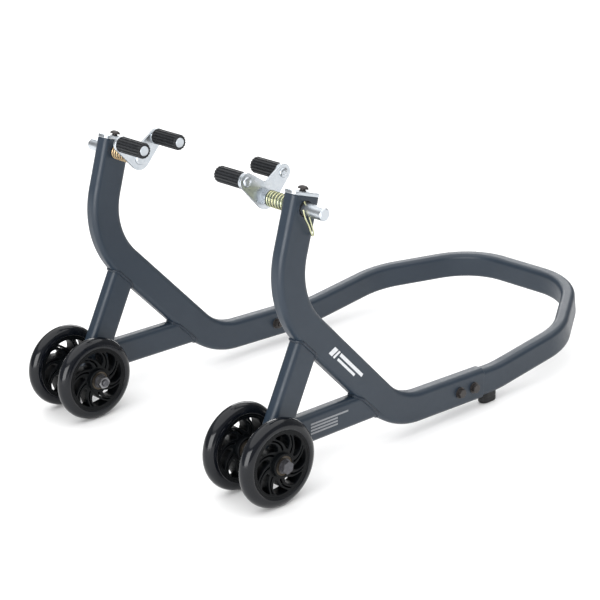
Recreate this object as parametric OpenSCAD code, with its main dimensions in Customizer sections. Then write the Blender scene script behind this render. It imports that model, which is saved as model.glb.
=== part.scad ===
/* [Wheels] */
// Wheel diameter over the tyre
wheel_d = 100; // [90:1:125]
// Tyre width
tyre_w = 18.5; // [16:0.5:24]
// Width of the wheel hub
hub_w = 24; // [18:0.5:26]
// Number of spokes, each split by a slit
spokes = 8; // [5:1:12]
// Distance from the side frame centre to each wheel centre
wheel_offset = 30; // [28:1:40]
// Axle bolt diameter
axle_d = 8; // [8:1:12]

/* [Side frames] */
// Distance from the middle of the stand to each side frame
side_y = 165; // [150:1:190]
// Depth of the main tube
main_h = 38.5; // [36:0.5:50]
// Thickness of the main tube
main_t = 19.2; // [18:0.2:25]
// Corner radius of the main tube
main_r = 6.5; // [4:0.5:9]
// Depth of the leg and brace tubes
strut_h = 35; // [30:0.5:40]
// Thickness of the leg and brace tubes
strut_t = 17.6; // [15:0.2:20]
// Wall of every tube
wall = 1.8; // [1.5:0.1:3]
// Radius of the upper bend
bend_upper = 96; // [80:1:120]
// Radius of the lower bend
bend_lower = 88; // [60:1:110]

/* [Rear loop] */
// Depth of the loop tube
loop_h = 34; // [30:0.5:40]
// Thickness of the loop tube
loop_t = 18.4; // [16:0.2:20]
// Radius of the four bends of the loop
loop_r = 96; // [70:1:110]
// Length of loop tube inside each side frame
insert_len = 56; // [50:1:70]

/* [Cradles] */
// Cradle shaft diameter
shaft_d = 14; // [12:1:18]
// Spread between the two rollers
roller_spread = 50.4; // [44:0.2:60]
// Height of the rollers above the shaft
roller_rise = 22; // [18:0.5:30]
// Roller diameter
roller_d = 18.4; // [16:0.2:26]
// Roller length
roller_len = 41; // [34:1:50]
// Outside diameter of the spring
spring_d = 18; // [17:0.5:26]
// Turns of the spring
spring_turns = 8; // [5:1:10]

/* [Hidden] */
$fn = 48;
LEFT = 1;
RIGHT = -1;
OUTER = 1;
INNER = -1;
eps = 0.01;
gap = 0.3;
run_fit = 0.05;
wheel_r = wheel_d / 2;

// side profile of one frame, measured from the wheel axle
top_pt = [71.5, 323.4];
upper_pt = [37.25, 210.6];
lower_pt = [203.8, 34];
sleeve_end = [346.9, 29.53];
kink_pt = [374.3, 28.6];
leg_top = [70.3, 158.7];
leg_low = [9.7, 38.6];
brace_front = [18, 59.7];
brace_rear = [181, 58.3];
loop_slope = 7.3;
corner_1 = 124.2;
corner_2 = 241.3;
loop_half_w = 88.7;
kink_r = 150;

function unit(v) = v / norm(v);
function angle_of(v) = atan2(v[1], v[0]);
function left_of(v) = [-v[1], v[0]];
function turn(a, b, c) = unit(b - a)[0] * unit(c - b)[1] - unit(b - a)[1] * unit(c - b)[0];
function half_turn(a, b, c) = acos(unit(b - a) * unit(c - b)) / 2;
function setback(a, b, c, r) = r * tan(half_turn(a, b, c));

sleeve_dir = unit(sleeve_end - lower_pt);
upright_dir = unit(top_pt - upper_pt);
upright_tilt = angle_of(upright_dir) - 90;
sleeve_tilt = angle_of(sleeve_dir);
shaft_drop = 13.3;
shaft_pt = top_pt - upright_dir * shaft_drop;

// overall length gives the place of the axle, so that the origin is the middle of the footprint
rear_reach = (loop_t / 2 - main_r) * cos(loop_slope) + (loop_h / 2 - main_r) * sin(loop_slope) + main_r;
overall = wheel_r + kink_pt[0] + corner_2 * cos(loop_slope) + rear_reach;
axle_x = wheel_r - overall / 2;

// section of a tube with rounded corners, grown by g
module section(h, t, r, g = 0) {
  hh = h / 2 + g;
  tt = t / 2 + g;
  rr = r + g;
  square([2 * hh, 2 * (tt - rr)], center = true);
  square([2 * (hh - rr), 2 * tt], center = true);
  for (sx = [-1, 1], sy = [-1, 1])
    translate([sx * (hh - rr), sy * (tt - rr)]) circle(rr);
}

// straights lap a little into the bends beside them, and are a hair larger, so that the tube is one solid
lap = 0.1;
step = 0.02;

// straight length from a to b in the plane of the path, with the section given as a child
module straight(a, b)
  translate([a[0], a[1], 0]) rotate([0, 0, angle_of(b - a)])
    rotate([90, 0, 90]) linear_extrude(norm(b - a)) children();

// bend of radius r that rounds the corner b
module bend(a, b, c, r) {
  s = sign(turn(a, b, c));
  start = b - unit(b - a) * setback(a, b, c, r);
  centre = start + left_of(unit(b - a)) * s * r;
  sweep = 2 * half_turn(a, b, c);
  first = s > 0 ? angle_of(b - a) - 90 : angle_of(c - b) + 90;
  translate([centre[0], centre[1], 0]) rotate([0, 0, first])
    rotate_extrude(angle = sweep, $fn = 96) translate([r, 0]) children();
}

// plane of a side profile, X forward and Z up, standing at the middle of one side frame
module side_plane(side) translate([axle_x, side * side_y, 0]) rotate([90, 0, 0]) children();

module main_path(g = 0, over = 0) {
  h = main_h;
  a = top_pt + upright_dir * over;
  d = sleeve_end + sleeve_dir * over;
  s1 = setback(top_pt, upper_pt, lower_pt, bend_upper);
  s2 = setback(upper_pt, lower_pt, sleeve_end, bend_lower);
  diag = unit(lower_pt - upper_pt);
  straight(a, upper_pt + upright_dir * (s1 - lap)) section(h, main_t, main_r, g + step);
  bend(top_pt, upper_pt, lower_pt, bend_upper) section(h, main_t, main_r, g);
  straight(upper_pt + diag * (s1 - lap), lower_pt - diag * (s2 - lap)) section(h, main_t, main_r, g + step);
  bend(upper_pt, lower_pt, sleeve_end, bend_lower) section(h, main_t, main_r, g);
  straight(lower_pt + sleeve_dir * (s2 - lap), d) section(h, main_t, main_r, g + step);
}

module leg_path(g = 0, over = 0)
  straight(leg_low - unit(leg_top - leg_low) * over, leg_top) section(strut_h, strut_t, main_r, g);

module brace_path(g = 0)
  straight(brace_front, brace_rear) section(strut_h, strut_t, main_r, g);

// round bar across the side frame at a point of its profile, from y0 to y1 outward
module cross_bar(side, p, y0, y1, r)
  translate([axle_x + p[0], side * y0, p[1]]) rotate([side > 0 ? -90 : 90, 0, 0]) cylinder(h = y1 - y0, r = r);

module hex_bar(side, p, y0, y1, af)
  translate([axle_x + p[0], side * y0, p[1]]) rotate([side > 0 ? -90 : 90, 0, 0])
    cylinder(h = y1 - y0, r = af / 2 / cos(30), $fn = 6);

axle_pt = [0, wheel_r];
bush_r = 9;
cap_t = 4;
plug_t = 3.4;
screw_r = 3;
bolt_pts = [for (d = [-42.6, -18.3]) sleeve_end + sleeve_dir * d];
bolt_r = 3;
boss_r = 8;
boss_len = 24;
foot_x = 362.4;
foot_w = 14;
foot_len = 25;
foot_pts = [foot_x, kink_pt[1] - (foot_x - kink_pt[0]) * tan(-sleeve_tilt)];

// tools drawn along the upright, its top end at the origin
module upright_frame(side)
  translate([axle_x + top_pt[0], side * side_y, top_pt[1]]) rotate([0, -upright_tilt, 0]) children();

module side_tube(side) {
  color([0.23, 0.26, 0.30])
  difference() {
    side_plane(side) main_path();
    side_plane(side) main_path(-wall, 1);
    cross_bar(side, shaft_pt, side_y - main_t, side_y + main_t, bush_r);
    for (p = bolt_pts) cross_bar(side, p, side_y - main_t, side_y + main_t, bolt_r + 0.2);
  }
}

module leg_tube(side) {
  color([0.23, 0.26, 0.30])
  difference() {
    side_plane(side) leg_path();
    side_plane(side) leg_path(-wall, 1);
    side_plane(side) main_path();
    cross_bar(side, axle_pt, side_y - boss_len, side_y + boss_len, boss_r);
  }
}

module brace_tube(side) {
  color([0.23, 0.26, 0.30])
  difference() {
    side_plane(side) brace_path();
    side_plane(side) brace_path(-wall);
    side_plane(side) main_path();
    side_plane(side) leg_path();
  }
}

// collar of weld metal around a strut where it meets a larger tube
bead = 1.5;
module weld_beads(side) {
  color([0.21, 0.24, 0.28])
  side_plane(side) {
    difference() {
      intersection() { main_path(bead); leg_path(bead); }
      main_path();
      leg_path();
    }
    difference() {
      intersection() { main_path(bead); brace_path(bead); }
      main_path();
      brace_path();
    }
    difference() {
      intersection() { leg_path(bead); brace_path(bead); }
      leg_path(0, 5);
      brace_path();
    }
  }
}

module axle_boss(side) {
  color([0.23, 0.26, 0.30])
  difference() {
    cross_bar(side, axle_pt, side_y - boss_len / 2, side_y + boss_len / 2, boss_r);
    cross_bar(side, axle_pt, side_y - boss_len, side_y + boss_len, axle_d / 2 + 0.2);
  }
}

plug_in = 5;
plug_lip = 1.5;
module leg_plug(side) {
  d = unit(leg_top - leg_low);
  color([0.06, 0.06, 0.06])
  difference() {
    side_plane(side) {
      straight(leg_low - d * plug_lip, leg_low) section(strut_h, strut_t, main_r);
      straight(leg_low, leg_low + d * plug_in) section(strut_h, strut_t, main_r, -wall - 0.1);
    }
    cross_bar(side, axle_pt, side_y - boss_len, side_y + boss_len, boss_r + gap);
  }
}

module top_cap(side) {
  color([0.72, 0.73, 0.74])
  upright_frame(side) difference() {
    union() {
      linear_extrude(cap_t) section(main_h, main_t, main_r, 0.3);
      translate([0, 0, -plug_t]) linear_extrude(plug_t + eps) section(main_h, main_t, main_r, -wall - 0.1);
    }
    translate([0, 0, -plug_t - 1]) cylinder(h = cap_t + plug_t + 2, r = screw_r + run_fit);
  }
}

// how far the bush sits below the outer face
bush_in = 1.6;
module shaft_bush(side) {
  color([0.7, 0.71, 0.72])
  difference() {
    cross_bar(side, shaft_pt, side_y - main_t / 2, side_y + main_t / 2 - bush_in, bush_r - 0.02);
    cross_bar(side, shaft_pt, side_y - main_t, side_y + main_t, shaft_d / 2 + run_fit);
    upright_frame(side) translate([0, 0, -shaft_drop]) cylinder(h = shaft_drop, r = screw_r + run_fit);
  }
}

// plane of the loop, tilted up toward the rear, with its start at the kink
module loop_plane() translate([axle_x + kink_pt[0], 0, kink_pt[1]]) rotate([0, -loop_slope, 0]) children();

module loop_body(g = 0) {
  kink_dir = [cos(loop_slope), sin(loop_slope)];
  k0 = kink_pt - sleeve_dir * 40;
  k1 = kink_pt + kink_dir * 40;
  s0 = setback(k0, kink_pt, k1, kink_r);
  for (side = [LEFT, RIGHT]) {
    c0 = [0, side * side_y];
    c1 = [corner_1, side * side_y];
    c2 = [corner_2, side * loop_half_w];
    c3 = [corner_2, -side * loop_half_w];
    s1 = setback(c0, c1, c2, loop_r);
    s2 = setback(c1, c2, c3, loop_r);
    d1 = unit(c2 - c1);
    side_plane(side) {
      straight(sleeve_end + sleeve_dir * gap, kink_pt - sleeve_dir * (s0 - lap))
        section(loop_h, loop_t, main_r, g + step);
      bend(k0, kink_pt, k1, kink_r) section(loop_h, loop_t, main_r, g);
    }
    loop_plane() {
      straight(c0 + [s0 - lap, 0], c1 - [s1 - lap, 0]) section(loop_t, loop_h, main_r, g + step);
      bend(c0, c1, c2, loop_r) section(loop_t, loop_h, main_r, g);
      straight(c1 + d1 * (s1 - lap), c2 - d1 * (s2 - lap)) section(loop_t, loop_h, main_r, g + step);
      bend(c1, c2, c3, loop_r) section(loop_t, loop_h, main_r, g);
      if (side == LEFT)
        straight(c2 - [0, s2 - lap], c3 + [0, s2 - lap]) section(loop_t, loop_h, main_r, g + step);
    }
  }
}

// reduced end of the loop that slides into the side frame
module loop_ends(g = 0, over = 0)
  for (side = [LEFT, RIGHT]) side_plane(side)
    straight(sleeve_end - sleeve_dir * (insert_len + over), sleeve_end + sleeve_dir * (gap + 2))
      section(main_h, main_t, main_r, g - wall - gap);

module rear_loop() {
  color([0.23, 0.26, 0.30])
  difference() {
    union() { loop_body(); loop_ends(); }
    loop_body(-wall);
    loop_ends(-wall, 1);
    for (side = [LEFT, RIGHT]) {
      for (p = bolt_pts) cross_bar(side, p, side_y - main_t, side_y + main_t, bolt_r + 0.2);
      translate([axle_x + foot_x, side * side_y, 0]) cylinder(h = foot_pts[1], r = foot_screw_r + 0.2);
    }
  }
}

// the straights stand a hair proud of the nominal tube, so the faces do too
face_out = side_y + main_t / 2 + step;
face_in = side_y - main_t / 2 - step;
washer_t = 1.4;
washer_r = 6.4;
head_t = 4.2;
bolt_af = 10;
module loop_bolts() {
  color([0.07, 0.07, 0.08])
  for (side = [LEFT, RIGHT], p = bolt_pts) {
    cross_bar(side, p, face_in - washer_t - 8, face_out + washer_t + eps, bolt_r);
    hex_bar(side, p, face_out + washer_t, face_out + washer_t + head_t, bolt_af);
  }
}

module loop_washers() {
  color([0.1, 0.1, 0.11])
  for (side = [LEFT, RIGHT], p = bolt_pts, y = [face_out, face_in - washer_t])
    difference() {
      cross_bar(side, p, y, y + washer_t, washer_r);
      cross_bar(side, p, y - 1, y + washer_t + 1, bolt_r + 0.2);
    }
}

module loop_nuts() {
  color([0.1, 0.1, 0.11])
  for (side = [LEFT, RIGHT], p = bolt_pts)
    difference() {
      hex_bar(side, p, face_in - washer_t - 6, face_in - washer_t, bolt_af);
      cross_bar(side, p, face_in - washer_t - 7, face_in, bolt_r);
    }
}

foot_screw_r = 2.5;
foot_head_r = 4.6;
foot_head_t = 2.8;
foot_floor = 3.2;
foot_edge = 1.6;
foot_top = 15.6;
// long pad with round ends
module foot_pill(h, r0, r1)
  hull() for (s = [-1, 1]) translate([s * (foot_len - foot_w) / 2, 0, 0]) cylinder(h = h, r1 = r0, r2 = r1);

module foot_pads() {
  color([0.05, 0.05, 0.05])
  for (side = [LEFT, RIGHT])
    difference() {
      translate([axle_x + foot_x, side * side_y, 0]) {
        foot_pill(foot_edge, foot_w / 2 - foot_edge, foot_w / 2);
        translate([0, 0, foot_edge]) foot_pill(foot_top - foot_edge, foot_w / 2, foot_w / 2);
      }
      side_plane(side) straight(sleeve_end, kink_pt + sleeve_dir * 10)
        section(loop_h, loop_t, main_r, 2 * step);
      translate([axle_x + foot_x, side * side_y, -1]) {
        cylinder(h = foot_floor + foot_head_t + 1, r = foot_head_r + 0.3);
        cylinder(h = 30, r = foot_screw_r + 0.2);
      }
    }
}

module foot_screws() {
  color([0.55, 0.56, 0.57])
  for (side = [LEFT, RIGHT])
    translate([axle_x + foot_x, side * side_y, foot_floor]) {
      cylinder(h = foot_head_t, r = foot_head_r);
      translate([0, 0, foot_head_t - eps]) cylinder(h = 12, r = foot_screw_r);
    }
}

// stack of parts along each axle, outward from the middle of the stand
wheel_out = side_y + wheel_offset;
wheel_in = side_y - wheel_offset;
axle_washer_t = 1.5;
stack_out = wheel_out + hub_w / 2 + gap;
stack_in = wheel_in - hub_w / 2 - gap;
nut_len = 8;
module axle_bolts() {
  color([0.10, 0.10, 0.11])
  for (side = [LEFT, RIGHT]) {
    cross_bar(side, axle_pt, stack_in - axle_washer_t - nut_len - 3, stack_out + axle_washer_t + eps, axle_d / 2);
    hex_bar(side, axle_pt, stack_out + axle_washer_t, stack_out + axle_washer_t + 5.3, 13);
  }
}

module axle_washers() {
  color([0.62, 0.63, 0.64])
  for (side = [LEFT, RIGHT], y = [stack_out, stack_in - axle_washer_t])
    difference() {
      cross_bar(side, axle_pt, y, y + axle_washer_t, 8);
      cross_bar(side, axle_pt, y - 1, y + axle_washer_t + 1, axle_d / 2 + run_fit);
    }
}

module axle_nuts() {
  color([0.66, 0.67, 0.68])
  for (side = [LEFT, RIGHT])
    difference() {
      hex_bar(side, axle_pt, stack_in - axle_washer_t - nut_len, stack_in - axle_washer_t, 13);
      cross_bar(side, axle_pt, stack_in - nut_len - 3, stack_in, axle_d / 2);
    }
}

module wheel_spacers() {
  color([0.62, 0.63, 0.64])
  for (side = [LEFT, RIGHT], span = [
      [side_y + boss_len / 2, wheel_out - hub_w / 2 - gap],
      [wheel_in + hub_w / 2 + gap, side_y - boss_len / 2]])
    difference() {
      cross_bar(side, axle_pt, span[0], span[1], 6.5);
      cross_bar(side, axle_pt, span[0] - 1, span[1] + 1, axle_d / 2 + run_fit);
    }
}

// one wheel drawn about the Y axis, then moved to its place
module wheel_frame(side, place)
  translate([axle_x, side * (side_y + place * wheel_offset), wheel_r])
    rotate([90, 0, 0]) mirror([0, 0, side > 0 ? 1 : 0]) children();

crown = tyre_w / 2;
tyre_in = wheel_r - 11;
rim_in = wheel_r * 0.69;
rim_w = tyre_w - 1.6;
web_w = 15.6;
hub_r = 13.5;
bearing_r = 11;
bearing_w = 7;
recess = 0.8;

module tyre(side, place) {
  color([0.05, 0.05, 0.05])
  wheel_frame(side, place) rotate_extrude($fn = 96) difference() {
    union() {
      translate([wheel_r - crown, 0]) circle(crown, $fn = 40);
      translate([tyre_in, -crown]) square([wheel_r - crown - tyre_in, tyre_w]);
    }
    translate([0, -tyre_w]) square([tyre_in, 2 * tyre_w]);
  }
}

// outline of an opening of the web: bent forward from the hub to the rim
swirl = 30;
function swirl_pt(r, a) = let (u = (r - hub_r) / (rim_in - hub_r), b = a + swirl * u * (1.6 - 0.6 * u))
  [r * cos(b), r * sin(b)];
window_half = [3.5, 8.5, 11.5, 12.2, 10.5];
window_r = [hub_r + 5.5, hub_r + 9.5, hub_r + 13.5, rim_in - 3.4, rim_in - 0.4];
slit_half = [3.2, 2.2, 1.9];
slit_r = [hub_r + 1.6, (hub_r + rim_in) / 2, rim_in - 2];
function opening(rs, halves) = concat(
  [for (k = [0:len(rs) - 1]) swirl_pt(rs[k], -halves[k])],
  [for (k = [len(rs) - 1:-1:0]) swirl_pt(rs[k], halves[k])]);

module wheel_core(side, place) {
  color([0.09, 0.09, 0.10])
  wheel_frame(side, place) {
    pitch = 360 / spokes;
    difference() {
      union() {
        rotate_extrude($fn = 96) translate([rim_in, -rim_w / 2]) square([tyre_in - rim_in, rim_w]);
        rotate_extrude($fn = 48) translate([0, -hub_w / 2]) square([hub_r, hub_w]);
        translate([0, 0, -web_w / 2]) linear_extrude(web_w) difference() {
          circle(rim_in + 1, $fn = 96);
          circle(hub_r - 1, $fn = 48);
          for (k = [0:spokes - 1]) rotate([0, 0, k * pitch]) {
            polygon(opening(window_r, window_half));
            rotate([0, 0, pitch / 2]) polygon(opening(slit_r, slit_half));
          }
        }
      }
      for (s = [-1, 1]) translate([0, 0, s * (hub_w / 2 - bearing_w / 2 - recess + 1)])
        cylinder(h = bearing_w + 2, r = bearing_r, center = true);
      translate([0, 0, -hub_w]) cylinder(h = 2 * hub_w, r = bearing_r - 2.5);
    }
  }
}

module wheel_bearings(side, place) {
  color([0.45, 0.42, 0.38])
  wheel_frame(side, place) for (s = [-1, 1])
    translate([0, 0, s * (hub_w / 2 - bearing_w / 2 - recess)]) difference() {
      cylinder(h = bearing_w, r = bearing_r, center = true);
      cylinder(h = bearing_w + 1, r = axle_d / 2 + run_fit, center = true);
      for (t = [-1, 1]) translate([0, 0, t * bearing_w / 2]) difference() {
        cylinder(h = 1, r = bearing_r - 1.8, center = true);
        cylinder(h = 2, r = axle_d / 2 + 2, center = true);
      }
    }
}

// screw that locks the shaft from above
head_r = 6;
head_h = 4;
stem_up = 2.2;
tip_gap = 0.2;
module lock_screw(side) {
  color([0.06, 0.06, 0.07])
  upright_frame(side) difference() {
    union() {
      translate([0, 0, -shaft_drop + shaft_d / 2 + tip_gap])
        cylinder(h = shaft_drop - shaft_d / 2 - tip_gap + cap_t + stem_up + eps, r = screw_r);
      translate([0, 0, cap_t + stem_up]) {
        cylinder(h = head_h * 0.45, r = head_r);
        translate([0, 0, head_h * 0.45]) cylinder(h = head_h * 0.55, r1 = head_r, r2 = head_r * 0.55);
      }
    }
    translate([0, 0, cap_t + stem_up + head_h]) for (a = [0, 90]) rotate([0, 0, a])
      cube([4.6, 1, 2.4], center = true);
  }
}

// cradle: stack outward from the inner tips of the rollers
tip_y = 66.4;
plate_y = tip_y + roller_len + 2;
plate_t = 3;
collar_y = plate_y + plate_t;
collar_t = 6;
collar_af = 16;
washer_y = collar_y + collar_t + gap;
thrust_t = 1.5;
spring_y0 = washer_y + thrust_t + 0.05;
spring_y1 = face_in - 0.05;
shaft_end = 204.8;
clip_y = face_out + 1.9;
clip_r = 0.9;
lobe_r = 9.5;
neck_r = 15.5;
pin_r = 5.8;

module cradle_shaft(side) {
  color([0.74, 0.75, 0.76])
  difference() {
    union() {
      cross_bar(side, shaft_pt, plate_y - 2, shaft_end - 1.2, shaft_d / 2);
      translate([axle_x + shaft_pt[0], side * (shaft_end - 1.2), shaft_pt[1]])
        rotate([side > 0 ? -90 : 90, 0, 0]) cylinder(h = 1.2, r1 = shaft_d / 2, r2 = shaft_d / 2 - 1.2);
    }
    clip_leg(side, clip_r + 0.1, 30, -30);
  }
}

// V shaped plate with a lobe for each roller
function plate_side(s) = [
  [s * neck_r * 0.72, -neck_r * 0.69],
  [s * (roller_spread / 2 + lobe_r * 0.78), roller_rise - lobe_r * 0.62],
  [s * (roller_spread / 2 - lobe_r * 0.5), roller_rise + lobe_r * 0.86]];
function reversed(v) = [for (k = [len(v) - 1:-1:0]) v[k]];
module plate_shape() {
  difference() {
    union() {
      circle(neck_r);
      polygon(concat(plate_side(1), [[0, roller_rise * 0.62]], reversed(plate_side(-1))));
      for (s = [-1, 1]) translate([s * roller_spread / 2, roller_rise]) circle(lobe_r);
    }
    circle(shaft_d / 2);
    for (s = [-1, 1]) translate([s * roller_spread / 2, roller_rise]) circle(pin_r * 0.6);
  }
}

module cradle_plate(side) {
  color([0.78, 0.79, 0.80])
  translate([axle_x + shaft_pt[0], side > 0 ? side * collar_y : side * plate_y, shaft_pt[1]])
    rotate([90, 0, 0]) linear_extrude(plate_t) plate_shape();
}

module cradle_collar(side) {
  color([0.74, 0.75, 0.76])
  difference() {
    hex_bar(side, shaft_pt, collar_y, collar_y + collar_t, collar_af);
    cross_bar(side, shaft_pt, collar_y - 1, collar_y + collar_t + 1, shaft_d / 2);
  }
}

roller_pts = [for (s = [-1, 1]) shaft_pt + [s * roller_spread / 2, roller_rise]];
module roller_pins(side) {
  color([0.76, 0.77, 0.78])
  for (p = roller_pts) {
    cross_bar(side, p, tip_y, plate_y, pin_r);
    cross_bar(side, p, tip_y + 0.4 + roller_len, plate_y, roller_d / 2 + 0.3);
    cross_bar(side, p, plate_y - eps, collar_y + eps, pin_r * 0.6);
    cross_bar(side, p, collar_y, collar_y + 1.6, pin_r * 0.85);
  }
}

rib_count = 24;
module roller_sleeves(side) {
  color([0.05, 0.05, 0.05])
  for (p = roller_pts)
    translate([axle_x + p[0], side * (tip_y + 0.4), p[1]]) rotate([side > 0 ? -90 : 90, 0, 0])
      linear_extrude(roller_len) difference() {
        circle(roller_d / 2);
        circle(pin_r);
        for (k = [0:rib_count - 1]) rotate([0, 0, k * 360 / rib_count])
          translate([roller_d / 2, 0]) square([1.2, 0.9], center = true);
      }
}

module thrust_washer(side) {
  color([0.7, 0.71, 0.72])
  difference() {
    cross_bar(side, shaft_pt, washer_y, washer_y + thrust_t, spring_d / 2 + 0.3);
    cross_bar(side, shaft_pt, washer_y - 1, washer_y + thrust_t + 1, shaft_d / 2 + run_fit);
  }
}

wire_r = 0.85;
module spring(side) {
  color([0.72, 0.62, 0.30])
  for (k = [0:spring_turns])
    translate([axle_x + shaft_pt[0], side * (spring_y0 + wire_r
        + k * (spring_y1 - spring_y0 - 2 * wire_r) / spring_turns), shaft_pt[1]])
      rotate([90, 0, 0]) rotate_extrude($fn = 40) translate([spring_d / 2 - wire_r, 0]) circle(wire_r, $fn = 14);
}

clip_lean = 18;
clip_twist = 32;
module clip_frame(side)
  translate([axle_x + shaft_pt[0], side * clip_y, shaft_pt[1]]) rotate([0, -clip_lean, 0])
    rotate([0, 0, -side * clip_twist]) children();

module clip_leg(side, r, up, down)
  clip_frame(side) translate([0, 0, down]) cylinder(h = up - down, r = r);

// wire of the clip: down through the shaft, round a half turn and back up beside the shaft
clip_eye = 3.6;
clip_path = [[0, shaft_d / 2 + 3], [0, -30], [-2 * clip_eye, -30], [-2 * clip_eye, -16], [-11, -5], [-9.4, 6]];
clip_bends = [clip_eye - 0.1, clip_eye - 0.1, 8, 8];
module shaft_clip(side) {
  color([0.78, 0.62, 0.22])
  clip_frame(side) rotate([90, 0, 0]) {
    n = len(clip_path);
    back = [for (k = [0:n - 1]) k == 0 || k == n - 1 ? 0
      : setback(clip_path[k - 1], clip_path[k], clip_path[k + 1], clip_bends[k - 1]) - lap];
    for (k = [0:n - 2]) {
      d = unit(clip_path[k + 1] - clip_path[k]);
      straight(clip_path[k] + d * back[k], clip_path[k + 1] - d * back[k + 1]) circle(clip_r + step, $fn = 16);
    }
    for (k = [1:n - 2]) bend(clip_path[k - 1], clip_path[k], clip_path[k + 1], clip_bends[k - 1])
      circle(clip_r, $fn = 16);
  }
}

side_tube(LEFT);  // side_tube_left
side_tube(RIGHT);  // side_tube_right
leg_tube(LEFT);  // leg_tube_left
leg_tube(RIGHT);  // leg_tube_right
brace_tube(LEFT);  // brace_tube_left
brace_tube(RIGHT);  // brace_tube_right
weld_beads(LEFT);  // weld_beads_left
weld_beads(RIGHT);  // weld_beads_right
axle_boss(LEFT);  // axle_boss_left
axle_boss(RIGHT);  // axle_boss_right
leg_plug(LEFT);  // leg_plug_left
leg_plug(RIGHT);  // leg_plug_right
top_cap(LEFT);  // top_cap_left
top_cap(RIGHT);  // top_cap_right
shaft_bush(LEFT);  // shaft_bush_left
shaft_bush(RIGHT);  // shaft_bush_right
rear_loop();
loop_bolts();
loop_washers();
loop_nuts();
foot_pads();
foot_screws();
axle_bolts();
axle_washers();
axle_nuts();
wheel_spacers();
tyre(LEFT, OUTER);  // tyre_outer_left
wheel_core(LEFT, OUTER);  // core_outer_left
wheel_bearings(LEFT, OUTER);  // bearings_outer_left
tyre(LEFT, INNER);  // tyre_inner_left
wheel_core(LEFT, INNER);  // core_inner_left
wheel_bearings(LEFT, INNER);  // bearings_inner_left
tyre(RIGHT, OUTER);  // tyre_outer_right
wheel_core(RIGHT, OUTER);  // core_outer_right
wheel_bearings(RIGHT, OUTER);  // bearings_outer_right
tyre(RIGHT, INNER);  // tyre_inner_right
wheel_core(RIGHT, INNER);  // core_inner_right
wheel_bearings(RIGHT, INNER);  // bearings_inner_right
lock_screw(LEFT);  // lock_screw_left
lock_screw(RIGHT);  // lock_screw_right
thrust_washer(LEFT);  // thrust_washer_left
thrust_washer(RIGHT);  // thrust_washer_right
spring(LEFT);  // spring_left
spring(RIGHT);  // spring_right
cradle_shaft(LEFT);  // cradle_shaft_left
cradle_shaft(RIGHT);  // cradle_shaft_right
cradle_plate(LEFT);  // cradle_plate_left
cradle_plate(RIGHT);  // cradle_plate_right
cradle_collar(LEFT);  // cradle_collar_left
cradle_collar(RIGHT);  // cradle_collar_right
roller_pins(LEFT);  // roller_pins_left
roller_pins(RIGHT);  // roller_pins_right
roller_sleeves(LEFT);  // roller_sleeves_left
roller_sleeves(RIGHT);  // roller_sleeves_right
shaft_clip(LEFT);  // shaft_clip_left
shaft_clip(RIGHT);  // shaft_clip_right
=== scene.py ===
import math
import random

import bmesh
import bpy
from mathutils import Matrix, Vector, noise


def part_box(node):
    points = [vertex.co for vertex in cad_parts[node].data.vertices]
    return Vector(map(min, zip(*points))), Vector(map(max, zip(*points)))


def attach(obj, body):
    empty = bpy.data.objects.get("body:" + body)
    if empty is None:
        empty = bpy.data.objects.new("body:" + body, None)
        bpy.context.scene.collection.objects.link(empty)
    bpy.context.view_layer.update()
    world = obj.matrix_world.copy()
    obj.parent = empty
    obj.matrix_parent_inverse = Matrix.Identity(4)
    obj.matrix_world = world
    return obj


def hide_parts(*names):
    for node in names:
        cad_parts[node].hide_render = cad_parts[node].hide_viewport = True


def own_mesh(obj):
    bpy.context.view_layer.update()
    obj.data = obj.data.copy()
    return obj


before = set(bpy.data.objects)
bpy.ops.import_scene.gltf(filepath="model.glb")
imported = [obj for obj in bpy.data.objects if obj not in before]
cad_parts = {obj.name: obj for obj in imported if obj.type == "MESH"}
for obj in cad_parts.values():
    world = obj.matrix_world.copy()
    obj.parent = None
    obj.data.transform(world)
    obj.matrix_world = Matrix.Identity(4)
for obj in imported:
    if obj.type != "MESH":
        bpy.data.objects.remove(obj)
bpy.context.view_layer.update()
rnd = random.Random(7)
MM = 0.001

# ---------------------------------------------------------------- places taken from the frame
lo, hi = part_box("tyre_outer_right")
AX = (lo[0] + hi[0]) / 2
lo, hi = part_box("cradle_shaft_left")
SHAFT = ((lo[0] + hi[0]) / 2, (lo[2] + hi[2]) / 2)
SHAFT_END = hi[1]
SIDE = 0.165
WHEEL_Z = 0.05
BORE = 0.009


def P(x, z):
    """Point of the side profile, given in mm from the wheel axle."""
    return Vector((AX + x * MM, 0, z * MM))


TOP, UPPER, LOWER, SLEEVE = P(71.5, 323.4), P(37.25, 210.6), P(203.8, 34), P(346.9, 29.53)
KINK = P(374.3, 28.6)
LEG_TOP, LEG_LOW = P(70.3, 158.7), P(9.7, 38.6)
BR_FRONT, BR_REAR = P(18, 59.7), P(181, 58.3)
SLOPE = math.radians(7.3)
UP = (TOP - UPPER).normalized()

# ---------------------------------------------------------------- materials


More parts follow.
